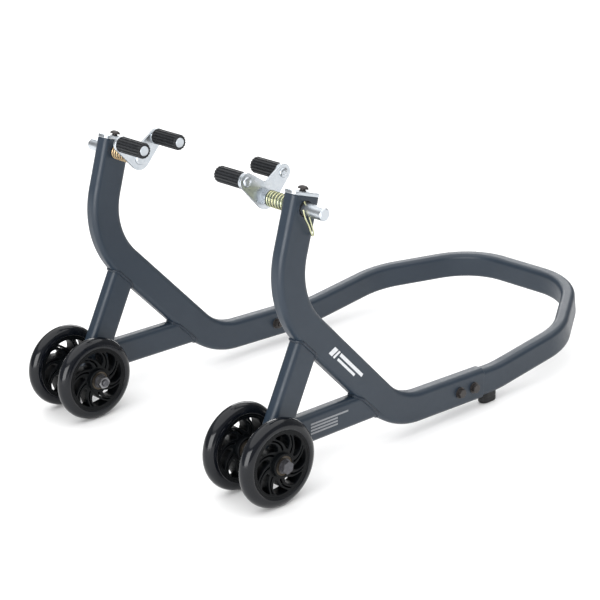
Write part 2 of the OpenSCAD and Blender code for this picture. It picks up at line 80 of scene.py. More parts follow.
def mat(name, color, rough, metal=0.0, spec=0.5, bump=(), tone=None, tone_scale=40, rough_var=0.05,
        rough_scale=60, coat=0.0):
    """bump: (scale, strength, distance[, stretch]) each; tone: second colour mixed in by noise."""
    m = bpy.data.materials.new(name)
    m.use_nodes = True
    nt = m.node_tree
    b = nt.nodes["Principled BSDF"]
    b.inputs["Metallic"].default_value = metal
    b.inputs["Coat Weight"].default_value = coat
    b.inputs["Coat Roughness"].default_value = 0.12
    b.inputs["Specular IOR Level"].default_value = spec
    tc = nt.nodes.new("ShaderNodeTexCoord")

    def noise_fac(scale, detail, stretch=(1, 1, 1)):
        mp = nt.nodes.new("ShaderNodeMapping")
        mp.inputs["Scale"].default_value = stretch
        nt.links.new(tc.outputs["Object"], mp.inputs["Vector"])
        n = nt.nodes.new("ShaderNodeTexNoise")
        n.inputs["Scale"].default_value = scale
        n.inputs["Detail"].default_value = detail
        nt.links.new(mp.outputs["Vector"], n.inputs["Vector"])
        return n.outputs["Fac"]

    ramp = nt.nodes.new("ShaderNodeValToRGB")
    first, last = ramp.color_ramp.elements
    first.position, last.position = 0.35, 0.68
    first.color, last.color = (*color, 1), (*tone, 1)
    nt.links.new(noise_fac(tone_scale, 5), ramp.inputs["Fac"])
    nt.links.new(ramp.outputs["Color"], b.inputs["Base Color"])

    mr = nt.nodes.new("ShaderNodeMapRange")
    mr.inputs["From Min"].default_value, mr.inputs["From Max"].default_value = 0.3, 0.7
    mr.inputs["To Min"].default_value = max(0.02, rough - rough_var)
    mr.inputs["To Max"].default_value = rough + rough_var
    nt.links.new(noise_fac(rough_scale, 6), mr.inputs["Value"])
    nt.links.new(mr.outputs["Result"], b.inputs["Roughness"])

    normal = None
    for scale, strength, dist, *stretch in bump:
        bp = nt.nodes.new("ShaderNodeBump")
        bp.inputs["Strength"].default_value = strength
        bp.inputs["Distance"].default_value = dist
        nt.links.new(noise_fac(scale, 3, *stretch), bp.inputs["Height"])
        if normal:
            nt.links.new(normal, bp.inputs["Normal"])
        normal = bp.outputs["Normal"]
    nt.links.new(normal, b.inputs["Normal"])
    return m


PAINT = mat("paint", (0.013, 0.023, 0.037), 0.40, spec=0.45, tone=(0.016, 0.027, 0.042), tone_scale=22,
            rough_var=0.04, rough_scale=160, bump=[(1300, 0.10, 0.0003), (240, 0.05, 0.0004)])
WELD = mat("weld_paint", (0.012, 0.021, 0.034), 0.38, spec=0.45, tone=(0.009, 0.016, 0.027), tone_scale=200,
           rough_var=0.06, bump=[(700, 0.35, 0.0004)])
TYRE = mat("tyre_urethane", (0.0025, 0.0035, 0.0055), 0.15, spec=0.34, tone=(0.004, 0.005, 0.0075),
           tone_scale=60, rough_scale=90, bump=[(420, 0.05, 0.0003)])
CORE = mat("core_plastic", (0.0012, 0.0016, 0.0022), 0.42, spec=0.13, tone=(0.0022, 0.0030, 0.0038),
           tone_scale=120, rough_var=0.08, bump=[(1500, 0.12, 0.0002)])
ZINC = mat("zinc_plate", (0.57, 0.60, 0.63), 0.34, 1.0, tone=(0.51, 0.55, 0.59), tone_scale=120,
           rough_var=0.06, rough_scale=260, bump=[(900, 0.05, 0.0002), (160, 0.04, 0.0003, (1, 6, 1))])
ZINC_BR = mat("zinc_bright", (0.56, 0.59, 0.62), 0.32, 1.0, tone=(0.50, 0.54, 0.58), tone_scale=140,
              rough_var=0.06, rough_scale=300, bump=[(1100, 0.04, 0.0002)])
GOLD = mat("yellow_zinc", (0.62, 0.60, 0.36), 0.24, 1.0, tone=(0.50, 0.54, 0.36), tone_scale=110,
           rough_var=0.08, rough_scale=300, bump=[(1200, 0.10, 0.0002)])
COPPER = mat("amber_zinc", (0.62, 0.42, 0.24), 0.26, 1.0, tone=(0.62, 0.50, 0.30), tone_scale=140,
             rough_var=0.08, rough_scale=300, bump=[(1200, 0.10, 0.0002)])
BLACKZ = mat("black_zinc", (0.042, 0.038, 0.037), 0.34, 0.6, tone=(0.060, 0.055, 0.053), tone_scale=300,
             rough_var=0.08, rough_scale=400, bump=[(1400, 0.15, 0.0002)])
RUBBER = mat("roller_rubber", (0.008, 0.009, 0.011), 0.5, spec=0.35, tone=(0.013, 0.015, 0.018),
             tone_scale=260, rough_var=0.1, rough_scale=500, bump=[(1800, 0.22, 0.0002)])
FOOT = mat("foot_rubber", (0.006, 0.006, 0.007), 0.5, spec=0.35, tone=(0.011, 0.011, 0.012),
           tone_scale=200, rough_var=0.1, rough_scale=300, bump=[(1500, 0.25, 0.0002)])
BEAR = mat("bearing_steel", (0.085, 0.07, 0.052), 0.3, 1.0, tone=(0.055, 0.045, 0.035), tone_scale=260,
           rough_var=0.1, rough_scale=300, bump=[(900, 0.12, 0.0002)])
SEAL = mat("bearing_seal", (0.020, 0.016, 0.012), 0.45, tone=(0.034, 0.028, 0.020), tone_scale=260,
           rough_var=0.1, bump=[(900, 0.2, 0.0002)])
BOLTGREY = mat("axle_bolt_steel", (0.10, 0.10, 0.11), 0.40, 0.75, tone=(0.075, 0.075, 0.082),
               tone_scale=300, rough_var=0.1, rough_scale=400, bump=[(1300, 0.2, 0.0002)])
NUT = mat("lock_nut_zinc", (0.26, 0.26, 0.27), 0.34, 0.9, tone=(0.20, 0.20, 0.21), tone_scale=300,
          rough_var=0.08, rough_scale=400, bump=[(1300, 0.15, 0.0002)])
MARK = mat("plain_decal", (0.62, 0.64, 0.66), 0.42, tone=(0.72, 0.73, 0.75), tone_scale=600, coat=0.1,
           bump=[(1500, 0.1, 0.0002)])
MARK_GREY = mat("plain_label", (0.20, 0.21, 0.225), 0.45, tone=(0.26, 0.27, 0.285), tone_scale=700,
                bump=[(1500, 0.1, 0.0002)])

# ---------------------------------------------------------------- mesh helpers


def new_obj(name, verts, faces, material, body, nodes=(), smooth=True, weighted=True):
    me = bpy.data.meshes.new(name)
    me.from_pydata([tuple(v) for v in verts], [], faces)
    bm = bmesh.new()
    bm.from_mesh(me)
    bmesh.ops.remove_doubles(bm, verts=bm.verts, dist=1e-7)
    bmesh.ops.recalc_face_normals(bm, faces=bm.faces)
    bm.to_mesh(me)
    bm.free()
    return finish_obj(name, me, material, body, nodes, smooth, weighted)


def finish_obj(name, me, material, body, nodes=(), smooth=True, weighted=True, angle=35):
    ob = bpy.data.objects.new(name, me)
    bpy.context.scene.collection.objects.link(ob)
    if not me.materials:
        me.materials.append(material)
    if smooth:
        me.shade_smooth()
        me.set_sharp_from_angle(angle=math.radians(angle))
        if weighted:
            w = ob.modifiers.new("normals", "WEIGHTED_NORMAL")
            w.keep_sharp = True
            w.weight = 80
    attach(ob, body)
    if nodes:
        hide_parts(*nodes)
    return ob


def rounded(h, t, r, n=9):
    """Section of a rounded rectangle as (a, b) pairs, with a along h."""
    out = []
    for cx, cy, a0 in ((h / 2 - r, t / 2 - r, 0), (-h / 2 + r, t / 2 - r, 90),
                       (-h / 2 + r, -t / 2 + r, 180), (h / 2 - r, -t / 2 + r, 270)):
        for k in range(n + 1):
            a = math.radians(a0 + 90 * k / n)
            out.append((cx + r * math.cos(a), cy + r * math.sin(a)))
    return out


def arc_path(pts, radii, step=4):
    """Polyline with each corner rounded: a list of (point, direction)."""
    out = [(pts[0], (pts[1] - pts[0]).normalized())]
    for i in range(1, len(pts) - 1):
        a, b, c = pts[i - 1], pts[i], pts[i + 1]
        u, v = (b - a).normalized(), (c - b).normalized()
        ang = u.angle(v)
        r = radii[i - 1]
        t = r * math.tan(ang / 2)
        start = b - u * t
        side = (v - u * v.dot(u)).normalized()
        cen = start + side * r
        n = max(4, int(math.degrees(ang) / step))
        for k in range(n + 1):
            q = ang * k / n
            out.append((cen - side * r * math.cos(q) + u * r * math.sin(q),
                        u * math.cos(q) + side * math.sin(q)))
    out.append((pts[-1], (pts[-1] - pts[-2]).normalized()))
    return out


def sweep(name, path, sec, across, material, nodes, bevel=0.0008, offset=Vector((0, 0, 0))):
    """Sweeps sec along path: its second number runs along across(d), its first along the other normal."""
    verts, faces, rings = [], [], []
    items = [(p, d, 0) for p, d in path]
    if bevel:
        (p0, d0), (p1, d1) = path[0], path[-1]
        items = [(p0, d0, -bevel), (p0 + d0 * bevel, d0, 0), *items[1:-1],
                 (p1 - d1 * bevel, d1, 0), (p1, d1, -bevel)]
    n = len(sec)
    for p, d, g in items:
        w = across(d)
        nrm = w.cross(d).normalized()
        rings.append(list(range(len(verts), len(verts) + n)))
        for a, b in sec:
            k = 1 + g / max(1e-6, math.hypot(a, b))
            verts.append(p + offset + nrm * a * k + w * b * k)
    for r0, r1 in zip(rings[:-1], rings[1:]):
        for k in range(n):
            faces.append((r0[k], r0[(k + 1) % n], r1[(k + 1) % n], r1[k]))
    faces.append(tuple(reversed(rings[0])))
    faces.append(tuple(rings[-1]))
    return new_obj(name, verts, faces, material, "frame", nodes)


def circle(r, n):
    return [(r * math.cos(2 * math.pi * k / n), r * math.sin(2 * math.pi * k / n)) for k in range(n)]


def lathe_mesh(profile, n=64):
    """profile: (r, y) pairs, turned about Y; ends at r 0 close."""
    verts, faces = [], []
    rings = []
    for r, y in profile:
        if r < 1e-9:
            verts.append((0, y, 0))
            rings.append([len(verts) - 1] * n)
        else:
            rings.append(list(range(len(verts), len(verts) + n)))
            verts += [(x, y, z) for x, z in circle(r, n)]
    for a, b in zip(rings[:-1], rings[1:]):
        for k in range(n):
            j = (k + 1) % n
            f = []
            for v in (a[k], a[j], b[j], b[k]):
                if v not in f:
                    f.append(v)
            if len(f) > 2:
                faces.append(tuple(f))
    return verts, faces


def place(verts, at, side=1, rot=None):
    """Mirrors in Y where side is -1, then turns, then moves."""
    out = []
    for v in verts:
        q = Vector(v)
        q = Vector((q.x, q.y * side, q.z))
        if rot:
            q = rot @ q
        out.append(q + Vector(at))
    return out


def join(parts):
    verts, faces = [], []
    for v, f in parts:
        o = len(verts)
        verts += list(v)
        faces += [tuple(i + o for i in q) for q in f]
    return verts, faces


def hex_head(af, h, n=72, hole=0.0, chamfer_low=False):
    """Hexagon head or nut along +Y from y 0, with a turned chamfer."""
    half = af / 2
    top = half * 0.93

    def rh(k):
        a = (360 * k / n + 30) % 60 - 30
        return half / math.cos(math.radians(a))

    verts, faces = [], []
    rings = []

    def ring(fn):
        rings.append(list(range(len(verts), len(verts) + n)))
        for k in range(n):
            a = 2 * math.pi * k / n
            r, y = fn(k)
            verts.append((r * math.cos(a), y, r * math.sin(a)))

    if hole:
        ring(lambda k: (hole, 0))
    if chamfer_low:
        ring(lambda k: (top, 0))
        ring(lambda k: (rh(k), (rh(k) - top) * 0.5))
    else:
        ring(lambda k: (rh(k) - 0.0001, 0))
        ring(lambda k: (rh(k), 0.0001))
    ring(lambda k: (rh(k), h - (rh(k) - top) * 0.5))
    ring(lambda k: (top, h))
    if hole:
        ring(lambda k: (hole + 0.0006, h))
        ring(lambda k: (hole, h - 0.0006))
        rings.append(rings[0])
    for a, b in zip(rings[:-1], rings[1:]):
        for k in range(n):
            j = (k + 1) % n
            faces.append((a[k], a[j], b[j], b[k]))
    if not hole:
        faces.append(tuple(reversed(rings[0])))
        faces.append(tuple(rings[-1]))
    return verts, faces


def outline_mesh(loops, half, bevel=0.0003, res=2):
    """Flat plate in XZ from outlines (the first is the outside), 2 * half thick along Y, edges bevelled."""
    cu = bpy.data.curves.new("tmp", "CURVE")
    cu.dimensions = "2D"
    cu.fill_mode = "BOTH"
    cu.extrude = half - bevel
    cu.bevel_depth = bevel
    cu.bevel_resolution = res
    cu.offset = -bevel
    for pts in loops:
        sp = cu.splines.new("POLY")
        sp.points.add(len(pts) - 1)
        for i, (x, z) in enumerate(pts):
            sp.points[i].co = (x, z, 0, 1)
        sp.use_cyclic_u = True
    ob = bpy.data.objects.new("tmp", cu)
    bpy.context.scene.collection.objects.link(ob)
    dg = bpy.context.evaluated_depsgraph_get()
    dg.update()
    me = bpy.data.meshes.new_from_object(ob.evaluated_get(dg))
    verts = [(v.co.x, -v.co.z, v.co.y) for v in me.vertices]
    faces = [tuple(p.vertices) for p in me.polygons]
    bpy.data.objects.remove(ob)
    bpy.data.curves.remove(cu)
    bpy.data.meshes.remove(me)
    return verts, faces


def wire(points, r, n=14, closed=False):
    """Round wire through points; r is its radius, or a function that gives it for each point."""
    verts, faces, rings = [], [], []
    m = len(points)
    ref = Vector((0.3, 0.2, 0.93)).normalized()
    last = None
    for i, p in enumerate(points):
        a = points[(i - 1) % m] if closed else points[max(0, i - 1)]
        b = points[(i + 1) % m] if closed else points[min(m - 1, i + 1)]
        d = (b - a).normalized()
        if last is None:
            u = d.cross(ref).normalized()
        else:
            u = (last - d * last.dot(d)).normalized()
        last = u
        w = d.cross(u)
        rr = r(i) if callable(r) else r
        if not closed and i in (0, m - 1):
            rr *= 0.75
        rings.append(list(range(len(verts), len(verts) + n)))
        verts += [p + u * rr * math.cos(2 * math.pi * k / n) + w * rr * math.sin(2 * math.pi * k / n)
                  for k in range(n)]
    for a, b in zip(rings[:-1], rings[1:]):
        for k in range(n):
            j = (k + 1) % n
            faces.append((a[k], a[j], b[j], b[k]))
    if closed:
        a, b = rings[-1], rings[0]
        shift = min(range(n), key=lambda s: sum((verts[a[k]] - verts[b[(k + s) % n]]).length
                                                for k in range(n)))
        for k in range(n):
            j = (k + 1) % n
            faces.append((a[k], a[j], b[(j + shift) % n], b[(k + shift) % n]))
    else:
        faces.append(tuple(reversed(rings[0])))
        faces.append(tuple(rings[-1]))
    return verts, faces


def smooth_line(pts, n):
    """Catmull-Rom line through pts with n steps a span."""
    out = []
    q = [pts[0] * 2 - pts[1]] + list(pts) + [pts[-1] * 2 - pts[-2]]
    for i in range(1, len(q) - 2):
        for k in range(n):
            t = k / n
            a, b, c, d = q[i - 1], q[i], q[i + 1], q[i + 2]
            out.append(0.5 * ((2 * b) + (c - a) * t + (2 * a - 5 * b + 4 * c - d) * t * t
                              + (3 * b - a - 3 * c + d) * t ** 3))
    out.append(pts[-1])
    return out


def cut_away(ob, verts, faces):
    """Cuts a closed tool out of ob and keeps the result as its mesh."""
    tool = bpy.data.objects.new("tool", bpy.data.meshes.new("tool"))
    tool.data.from_pydata([tuple(v) for v in verts], [], faces)
    bm = bmesh.new()
    bm.from_mesh(tool.data)
    bmesh.ops.recalc_face_normals(bm, faces=bm.faces)
    bm.to_mesh(tool.data)
    bm.free()
    bpy.context.scene.collection.objects.link(tool)
    md = ob.modifiers.new("cut", "BOOLEAN")
    md.operation = "DIFFERENCE"
    md.object = tool
    ob.modifiers.move(len(ob.modifiers) - 1, 0)
    w = ob.modifiers.get("normals")
    if w:
        w.show_viewport = False
    dg = bpy.context.evaluated_depsgraph_get()
    dg.update()
    old = ob.data
    new = bpy.data.meshes.new_from_object(ob.evaluated_get(dg))
    ob.modifiers.remove(md)
    if w:
        w.show_viewport = True
    new.set_sharp_from_angle(angle=math.radians(35))
    ob.data = new
    bpy.data.meshes.remove(old)
    bpy.data.objects.remove(tool)


def cad(node, material):
    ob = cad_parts[node]
    ob.data.materials.clear()
    ob.data.materials.append(material)


# ---------------------------------------------------------------- side frames
Y = Vector((0, 1, 0))
MAIN = (0.0385, 0.0192, 0.0065)
STRUT = (0.035, 0.0176, 0.0065)
LOOP = (0.034, 0.0184, 0.0065)
MAIN_PATH = arc_path([TOP, UPPER, LOWER, SLEEVE], [0.096, 0.088], 2.5)
LEG_DIR = (LEG_TOP - LEG_LOW).normalized()
BR_DIR = (BR_REAR - BR_FRONT).normalized()
LEG_PATH = [(LEG_LOW, LEG_DIR), (LEG_TOP, LEG_DIR)]
BR_PATH = [(BR_FRONT, BR_DIR), (BR_REAR, BR_DIR)]
SIDES = ((1, "left"), (-1, "right"))
BEAD_R = 0.00175


def across_y(_):
    return Y


def tube_distance(p, path, dims):
    """Signed distance from p (y measured from the frame's middle) to the tube that follows path."""
    q = Vector((p.x, 0, p.z))
    h = 1e9
    for (a, _), (b, _) in zip(path[:-1], path[1:]):
        ab = b - a
        t = max(0, min(1, (q - a).dot(ab) / max(1e-12, ab.length_squared)))
        h = min(h, (q - (a + ab * t)).length)
    hh, tt, r = dims[0] / 2, dims[1] / 2, dims[2]
    dx, dy = h - (hh - r), abs(p.y) - (tt - r)
    return math.hypot(max(dx, 0), max(dy, 0)) + min(max(dx, dy), 0) - r


def weld_ring(side, base, direction, dims, path, path_dims):
    """A wavy bead where a strut, leaving base along direction, meets another tube."""
    near = 0.00005
    nrm = Y.cross(direction).normalized()
    sec = rounded(*dims, 7)
    dense = []
    for i, (a, b) in enumerate(sec):
        c, d = sec[(i + 1) % len(sec)]
        n = max(1, int(math.hypot(c - a, d - b) / 0.0012))
        dense += [(a + (c - a) * k / n, b + (d - b) * k / n) for k in range(n)]
    pts = []
    for a, b in dense:
        p = base + nrm * a + Y * b
        t = 0.0
        for _ in range(60):
            g = tube_distance(p + direction * t, path, path_dims)
            if g < near:
                break
            t += max(g * 0.8, near)
        pts.append(p + direction * (t - 0.0002) + Vector((0, side * SIDE, 0)))
    length = 0
    rad = []
    for i, p in enumerate(pts):
        length += (p - pts[i - 1]).length if i else 0
        rad.append(BEAD_R + 0.00022 * abs(math.sin(length / 0.0016)) + 0.0003 * noise.noise(p * 160))
    return wire(pts, lambda i: rad[i], 10, closed=True)


for side, s in SIDES:
    off = Vector((0, side * SIDE, 0))
    tube = sweep(f"frame_tube_{s}", MAIN_PATH, rounded(*MAIN), across_y, PAINT, [f"side_tube_{s}"],
                 offset=off)
    v, f = lathe_mesh([(0, 0.14), (BORE, 0.14), (BORE, 0.19), (0, 0.19)], 64)
    cut_away(tube, place(v, (SHAFT[0], 0, SHAFT[1]), side), f)
    sweep(f"leg_{s}", LEG_PATH, rounded(*STRUT), across_y, PAINT, [f"leg_tube_{s}"],
          bevel=0.0003, offset=off)
    sweep(f"brace_{s}", BR_PATH, rounded(*STRUT), across_y, PAINT, [f"brace_tube_{s}"],
          bevel=0, offset=off)
    v, f = join([
        weld_ring(side, LEG_LOW + LEG_DIR * 0.07, LEG_DIR, STRUT, MAIN_PATH, MAIN),
        weld_ring(side, BR_FRONT + BR_DIR * 0.06, BR_DIR, STRUT, MAIN_PATH, MAIN),
        weld_ring(side, BR_FRONT + BR_DIR * 0.10, -BR_DIR, STRUT, LEG_PATH, STRUT),
    ])
    new_obj(f"weld_{s}", v, f, WELD, "frame", [f"weld_beads_{s}"], weighted=False)
    cad(f"axle_boss_{s}", PAINT)
    cad(f"shaft_bush_{s}", FOOT)
    cad(f"leg_plug_{s}", FOOT)

# ---------------------------------------------------------------- rear loop
LOOP_X = Vector((math.cos(SLOPE), 0, math.sin(SLOPE)))
LOOP_UP = Vector((-math.sin(SLOPE), 0, math.cos(SLOPE)))
SLEEVE_DIR = (SLEEVE - LOWER).normalized()
TO_SIDE = Vector((0, SIDE, 0))


def in_loop(u, y):
    """Point of the loop's tilted plane, in mm from the kink and from the middle."""
    return KINK + LOOP_X * (u * MM) + Vector((0, y * MM, 0))


def loop_normal(d):
    """Normal of the loop's plane, turned where the arms bend down to the side frames."""
    if abs(d.y) > 1e-4:
        return LOOP_UP
    n = Y.cross(Vector((d.x, 0, d.z)).normalized())
    return n if n.z > 0 else -n


left_half = [SLEEVE - SLEEVE_DIR * 0.02 + TO_SIDE, KINK + TO_SIDE, in_loop(124.2, 165), in_loop(241.3, 88.7)]
right_half = [Vector((p.x, -p.y, p.z)) for p in reversed(left_half)]
loop_path = arc_path(left_half + right_half, [0.15, 0.096, 0.096, 0.096, 0.096, 0.15], 2.5)
sweep("loop_tube", loop_path, [(b, a) for a, b in rounded(*LOOP)], loop_normal, PAINT, ["rear_loop"])

# ---------------------------------------------------------------- fasteners of the loop
BOLTS = [SLEEVE - SLEEVE_DIR * d * MM for d in (42.6, 18.3)]
FACE = MAIN[1] / 2
WASHER_T = 0.0014
BOLT_AF, BOLT_HEAD, BOLT_NUT = 0.010, 0.0042, 0.005
heads, nuts, washers = [], [], []
for side, _ in SIDES:
    for p in BOLTS:
        rot = Matrix.Rotation(math.radians(rnd.uniform(0, 60)), 4, "Y")
        v, f = hex_head(BOLT_AF, BOLT_HEAD)
        heads.append((place(v, (p.x, side * (SIDE + FACE + WASHER_T), p.z), side, rot), f))
        inner = (p.x, side * (SIDE - FACE - WASHER_T), p.z)
        v, f = hex_head(BOLT_AF, BOLT_NUT, hole=0.003, chamfer_low=True)
        nuts.append((place([rot @ Vector(q) for q in v], inner, -side), f))
        v, f = lathe_mesh([(0, 0.0078), (0.0024, 0.0078), (0.0030, 0.0072), (0.0030, 0.0)], 24)
        heads.append((place(v, inner, -side), f))
        for out in (1, -1):
            v, f = lathe_mesh([(0.0031, 0), (0.0067, 0), (0.0069, 0.0002), (0.0069, WASHER_T - 0.0002),
                               (0.0067, WASHER_T), (0.0031, WASHER_T), (0.0031, 0)], 40)
            washers.append((place(v, (p.x, side * (SIDE + out * FACE), p.z), side * out), f))
v, f = join(heads)
new_obj("loop_bolt_heads", v, f, BLACKZ, "frame", ["loop_bolts"])
v, f = join(nuts)
new_obj("loop_hex_nuts", v, f, BLACKZ, "frame", ["loop_nuts"])
v, f = join(washers)
new_obj("loop_flat_washers", v, f, BLACKZ, "frame", ["loop_washers"])

# ---------------------------------------------------------------- feet
FOOT_X = P(362.4, 0).x
PILL_END = 0.0055


def pill(rings, n=18):
    """Round-ended pad: rings of (half width, height), long in X."""
    verts, faces = [], []
    m = 2 * (n + 1)
    for w, z in rings:
        for e, a0 in ((1, -90), (-1, 90)):
            for k in range(n + 1):
                a = math.radians(a0 + 180 * k / n)
                verts.append((e * PILL_END + w * math.cos(a), w * math.sin(a), z))
    for q in range(len(rings) - 1):
        for k in range(m):
            j = (k + 1) % m
            faces.append((q * m + k, q * m + j, (q + 1) * m + j, (q + 1) * m + k))
    faces.append(tuple(reversed(range(m))))
    faces.append(tuple(range((len(rings) - 1) * m, len(rings) * m)))
    return verts, faces


v, f = pill([(0.0050, 0.0), (0.0058, 0.0003), (0.0066, 0.0011), (0.0070, 0.0022), (0.0070, 0.0060),
             (0.0066, 0.0066), (0.0066, 0.0074), (0.0070, 0.0080), (0.0069, 0.0140), (0.0062, 0.0148)])
v, f = join([(place(v, (FOOT_X, side * SIDE, 0)), f) for side, _ in SIDES])
new_obj("rubber_feet", v, f, FOOT, "frame", ["foot_pads"])
cad("foot_screws", ZINC)

# ---------------------------------------------------------------- axles
OUTER, INNER = SIDE + 0.03, SIDE - 0.03
HUB_HALF, HUB_GAP = 0.012, 0.0003
AXLE_WASHER, AXLE_TAIL = 0.0015, 0.011
AXLE_AF, AXLE_HEAD, AXLE_NUT, AXLE_R = 0.013, 0.0053, 0.008, 0.004
STACK_OUT, STACK_IN = OUTER + HUB_HALF + HUB_GAP, INNER - HUB_HALF - HUB_GAP
bolts, nuts = [], []
for side, _ in SIDES:
    rot = Matrix.Rotation(math.radians(32 if side > 0 else 12), 4, "Y")
    v, f = hex_head(AXLE_AF, AXLE_HEAD)
    bolts.append((place([rot @ Vector(q) for q in v], (AX, side * (STACK_OUT + AXLE_WASHER), WHEEL_Z), side), f))
    v, f = lathe_mesh([(0, 0), (0.0034, 0), (AXLE_R, 0.0006),
                       (AXLE_R, STACK_OUT - STACK_IN + AXLE_WASHER + AXLE_TAIL)], 32)
    bolts.append((place(v, (AX, side * (STACK_IN - AXLE_WASHER - AXLE_TAIL), WHEEL_Z), side), f))
    v, f = hex_head(AXLE_AF, AXLE_NUT, hole=AXLE_R, chamfer_low=True)
    nuts.append((place([rot @ Vector(q) for q in v], (AX, side * (STACK_IN - AXLE_WASHER), WHEEL_Z), -side), f))
v, f = join(bolts)
new_obj("axle_bolt_pair", v, f, BOLTGREY, "frame", ["axle_bolts"])
v, f = join(nuts)
new_obj("axle_nut_pair", v, f, NUT, "frame", ["axle_nuts"])
cad("axle_washers", BOLTGREY)
cad("wheel_spacers", BOLTGREY)

# ---------------------------------------------------------------- wheels
RIM_IN, HUB_R = 0.0345, 0.0135
SWIRL = 34
TYRE_MID, TYRE_HALF = 0.04075, 0.00925
BEARING_OUT = 0.0112
SPOKES = 8
PITCH = 360 / SPOKES
WINDOW = ([0.0135, 0.0185, 0.0225, 0.0275, 0.031, 0.0345], [1.5, 6.0, 11.0, 14.4, 15.0, 13.6], 0.0176, 0.0341)
SLIT = ([0.0135, 0.017, 0.024, 0.033], [4.4, 3.8, 2.5, 2.0], 0.0156, 0.0330)
TURNED = {"outer_right": 14, "inner_right": 31, "inner_left": 21, "outer_left": 22}


def swirl_pt(r, a):
    """Point at radius r of a curved spoke that leaves the hub at a degrees."""
    u = (r - HUB_R) / (RIM_IN - HUB_R)
    b = math.radians(a + SWIRL * max(0, u) ** 1.5)
    return (r * math.cos(b), r * math.sin(b))


def interp(xs, ys, x):
    """Value at x of the smooth line through the given points."""
    for a, b, c, d in zip(xs[:-1], xs[1:], ys[:-1], ys[1:]):
        if x <= b:
            t = (x - a) / (b - a)
            return c + (d - c) * (t * t * (3 - 2 * t))
    return ys[-1]


def opening(radii, halves, r0, r1, a0, n=18):
    """Curved window from r0 to r1, its half angle given at radii, rounded at both ends."""
    pts = []
    for k in range(n + 1):
        t = k / n
        r = r0 + (r1 - r0) * (0.5 - 0.5 * math.cos(math.pi * t))
        w = interp(radii, halves, r) * min(1, math.sqrt(max(0, 1 - abs(2 * t - 1) ** 7)))
        pts.append((r, w))
    loop = [swirl_pt(r, a0 - w) for r, w in pts] + [swirl_pt(r, a0 + w) for r, w in reversed(pts)]
    clean = [loop[0]]
    for p in loop[1:]:
        if math.dist(p, clean[-1]) > 0.0002:
            clean.append(p)
    if math.dist(clean[0], clean[-1]) < 0.0002:
        clean.pop()
    return clean


web_loops = [circle(RIM_IN + 0.0008, 128), circle(HUB_R - 0.0008, 64)]
for k in range(SPOKES):
    web_loops.append(opening(*WINDOW, PITCH * k))
    web_loops.append(opening(*SLIT, PITCH * (k + 0.5)))
web = outline_mesh(web_loops, 0.0078, 0.0005, 2)
rim_half = [(0.0396, 0.0080), (0.0392, 0.0084), (0.0366, 0.0084), (0.0362, 0.0080), (0.0343, 0.0080),
            (0.0339, 0.0076)]
rim = lathe_mesh([(r, -y) for r, y in reversed(rim_half)] + rim_half + [(0.0339, -0.0076)], 128)
hub_half = [(0.0139, 0.0072), (0.0135, 0.0082), (0.0134, 0.0114), (0.0128, HUB_HALF), (0.0110, HUB_HALF)]
hub = lathe_mesh([(r, -y) for r, y in reversed(hub_half)] + hub_half
                 + [(0.0110, 0.0030), (0.0085, 0.0030), (0.0085, -0.0030), (0.0110, -0.0030),
                    (0.0110, -HUB_HALF)], 64)
core_v, core_f = join([web, rim, hub])
tyre_lip = [(0.0388, 0.0086), (0.0392, 0.0090), (0.0398, TYRE_HALF)]
tyre_profile = [(r, -y) for r, y in tyre_lip]
for k in range(29):
    a = -math.pi / 2 + math.pi * k / 28
    tyre_profile.append((TYRE_MID + TYRE_HALF * math.cos(a), TYRE_HALF * math.sin(a)))
tyre_profile += tyre_lip[::-1] + [(0.0388, -0.0086)]
tyre_v, tyre_f = lathe_mesh(tyre_profile, 144)


def both_ends(profile):
    """A turned part at each end of the hub, as mirror images."""
    v, f = lathe_mesh(profile, 64)
    return join([(place(v, (0, e * BEARING_OUT, 0), e), f) for e in (1, -1)])


bearing_v, bearing_f = both_ends([
    (0.0110, 0), (0.0108, 0.0002), (0.0095, 0.0002), (0.0093, -0.0001), (0.0093, -0.0008), (0.0068, -0.0008),
    (0.0068, 0.0), (0.0066, 0.0002), (0.0042, 0.0002), (0.00405, 0), (0.00405, -0.0065), (0.0110, -0.0065),
    (0.0110, 0)])
seal_v, seal_f = both_ends([(0.0093, -0.0010), (0.0093, -0.0002), (0.0082, -0.0001), (0.0069, -0.0003),
                            (0.0069, -0.0010)])

for side, s in SIDES:
    for y, row in ((OUTER, "outer"), (INNER, "inner")):
        wheel = f"{row}_{s}"
        at = Vector((AX, side * y, WHEEL_Z))
        rot = Matrix.Rotation(math.radians(-TURNED[wheel]), 4, "Y")
        for name, v, f, material, node, slot in (
                ("tread", tyre_v, tyre_f, TYRE, "tyre", "tyre"),
                ("spoked_core", core_v, core_f, CORE, "core", "wheel_core"),
                ("bearing_rings", bearing_v, bearing_f, BEAR, "bearings", "bearing"),
                ("bearing_seals", seal_v, seal_f, SEAL, None, None)):
            nodes = [f"{node}_{wheel}"] if node else []
            new_obj(f"{name}_{wheel}", place(v, at, rot=rot), f, material, f"wheel_{wheel}", nodes,
                    weighted=name != "tread")

# ---------------------------------------------------------------- upright tops
UPRIGHT = Matrix.Rotation(math.atan2(UP.x, UP.z), 4, "Y")
CAP_HALF = 0.0020
SLOT_LEN, SLOT_W, SLOT_DEEP, SLOT_AT = 0.0052, 0.0010, 0.0032, 0.0101


def up_place(verts, side):
    """From a frame at the top end of an upright, Z along the tube."""
    return [UPRIGHT @ Vector(v) + TOP + Vector((0, side * SIDE, 0)) for v in verts]


def lay_down(vf):
    """XZ to XY and Y to Z, for a plate or a turned part made along Y."""
    v, f = vf
    return [Vector((q[0], q[2], q[1])) for q in v], f


